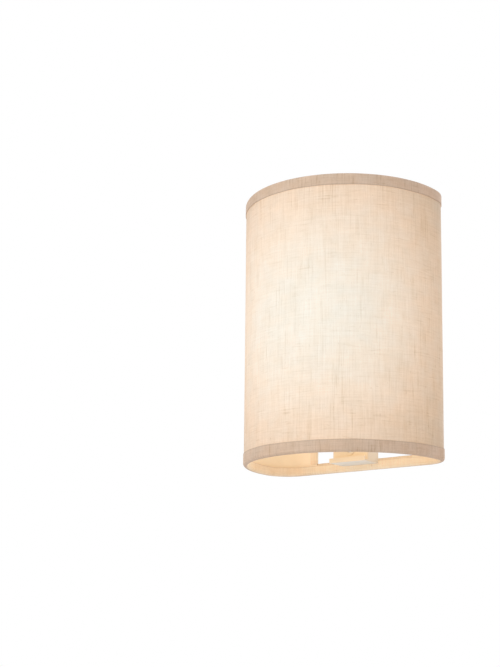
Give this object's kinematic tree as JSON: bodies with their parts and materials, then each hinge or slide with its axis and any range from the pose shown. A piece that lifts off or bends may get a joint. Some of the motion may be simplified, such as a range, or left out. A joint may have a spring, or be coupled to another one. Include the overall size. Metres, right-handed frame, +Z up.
{
  "type": "fabric shade wall light",
  "caption": "Half-round wall light: a linen shade open at top and bottom hooks on a steel bracket and back plate that carry an upright lampholder and bulb.",
  "frame": {"origin": "on the wall plane, midway between the mounting strap's two slots and at the light's mid height", "axes": "+Z up, +Y into the wall, the room towards -Y, +X to the right for someone facing the wall"},
  "size_m": [0.2014, 0.1317, 0.26],
  "materials": {
    "linen": "natural slub linen, lit from inside",
    "liner": "white styrene film, matt",
    "trim": "natural slub linen band, rolled",
    "wire": "white coated steel wire",
    "white_steel": "white powder coat, satin",
    "zinc": "zinc plated, satin",
    "green_steel": "green dyed zinc",
    "brass": "plain brass",
    "holder": "white moulded phenolic",
    "bushing": "black nylon",
    "lead_black": "black insulation",
    "lead_white": "white insulation",
    "lead_green": "green insulation",
    "connector": "orange moulded plastic",
    "bulb_plastic": "white plastic, satin",
    "bulb_frost": "frosted, glowing warm white",
    "bulb_metal": "plated screw cap",
    "bead": "dark glass bead"
  },
  "bodies": {
    "fixture": {"mounting_strap": "zinc", "side_screws": "white_steel", "back_plate": "white_steel", "ground_screw": "green_steel", "plate_bushing": "bushing", "shade_bracket": "white_steel", "bracket_screws": "zinc", "web_bushing": "bushing", "holder_arm": "white_steel", "arm_screws": "zinc", "holder_nipple": "zinc", "nipple_nut": "zinc", "lock_washer": "zinc", "socket_cap": "brass", "socket_body": "holder", "screw_shell": "brass", "centre_contact": "brass", "lead_live": "lead_black", "lead_neutral": "lead_white", "ground_lead": "lead_green", "wire_connectors": "connector"},
    "shade": {"linen_cover": "linen", "styrene_liner": "liner", "trim_top": "trim", "trim_bottom": "trim", "ring_top": "wire", "ring_bottom": "wire", "edge_bindings": "trim", "shade_hanger": "wire"},
    "bulb": {"bulb_contact": "bulb_metal", "bulb_insulator": "bead", "bulb_cap": "bulb_metal", "bulb_housing": "bulb_plastic", "led_board": "bulb_plastic", "bulb_dome": "bulb_frost"}
  },
  "joints": [
    {"name": "shade_lift", "type": "slide", "parent": "fixture", "child": "shade", "axis": [0, 0, 1], "range_m": [0, 0.01]},
    {"name": "bulb_turn", "type": "hinge", "parent": "fixture", "child": "bulb", "pos_m": [0, -0.072, 0], "axis": [0, 0, 1], "continuous": true}
  ]
}
